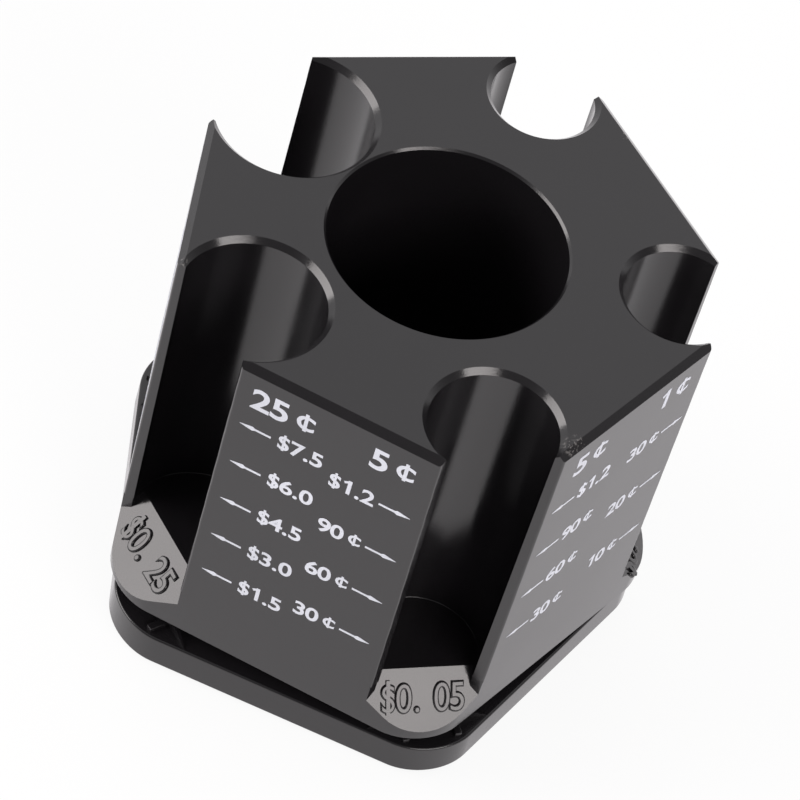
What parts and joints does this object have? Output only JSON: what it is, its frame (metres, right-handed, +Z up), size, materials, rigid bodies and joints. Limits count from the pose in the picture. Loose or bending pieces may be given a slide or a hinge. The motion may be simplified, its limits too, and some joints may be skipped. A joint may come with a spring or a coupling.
{
  "type": "coin sorting tower",
  "caption": "Pentagonal desk tower with open coin channels at its corners and a deep centre cup, turning freely on a pentagonal base.",
  "frame": {"origin": "on the turning axis, at the underside of the grip pad", "axes": "+Z up along the turning axis; -Y towards the nickel channel of the tower; the base stands turned 4.1 degrees about +Z from the tower at rest"},
  "size_m": [0.0993, 0.0965, 0.085],
  "materials": {
    "black_moulding": "satin moulded, fine texture",
    "dark_moulding": "matte moulded",
    "white_acetal": "natural moulded",
    "steel_fittings": "zinc plated",
    "ball_steel": "polished",
    "brass_insert": "turned",
    "grip_foam": "fine foam skin"
  },
  "bodies": {
    "base": {"base_shell": "black_moulding", "base_plate": "dark_moulding", "base_screws": "steel_fittings", "grip_pad": "grip_foam", "lower_race": "steel_fittings", "pivot_bush": "white_acetal"},
    "tower": {"tower_shell": "black_moulding", "tower_cover": "dark_moulding", "cover_screws": "steel_fittings", "upper_race": "steel_fittings", "pivot_insert": "brass_insert", "pivot_screw": "steel_fittings", "pivot_washer": "steel_fittings"},
    "ball_ring": {"ball_cage": "white_acetal", "bearing_ball_1": "ball_steel", "bearing_ball_2": "ball_steel", "bearing_ball_3": "ball_steel", "bearing_ball_4": "ball_steel", "bearing_ball_5": "ball_steel", "bearing_ball_6": "ball_steel", "bearing_ball_7": "ball_steel", "bearing_ball_8": "ball_steel", "bearing_ball_9": "ball_steel", "bearing_ball_10": "ball_steel", "bearing_ball_11": "ball_steel", "bearing_ball_12": "ball_steel"}
  },
  "joints": [
    {"name": "tower_spin", "type": "hinge", "parent": "base", "child": "tower", "pos_m": [0, 0, 0.0115], "axis": [0, 0, 1], "continuous": true},
    {"name": "ball_ring_spin", "type": "hinge", "parent": "base", "child": "ball_ring", "pos_m": [0, 0, 0.00955], "axis": [0, 0, 1], "continuous": true}
  ],
  "couplings": [
    {"joint": "ball_ring_spin", "follows": "tower_spin", "ratio": 0.5}
  ]
}
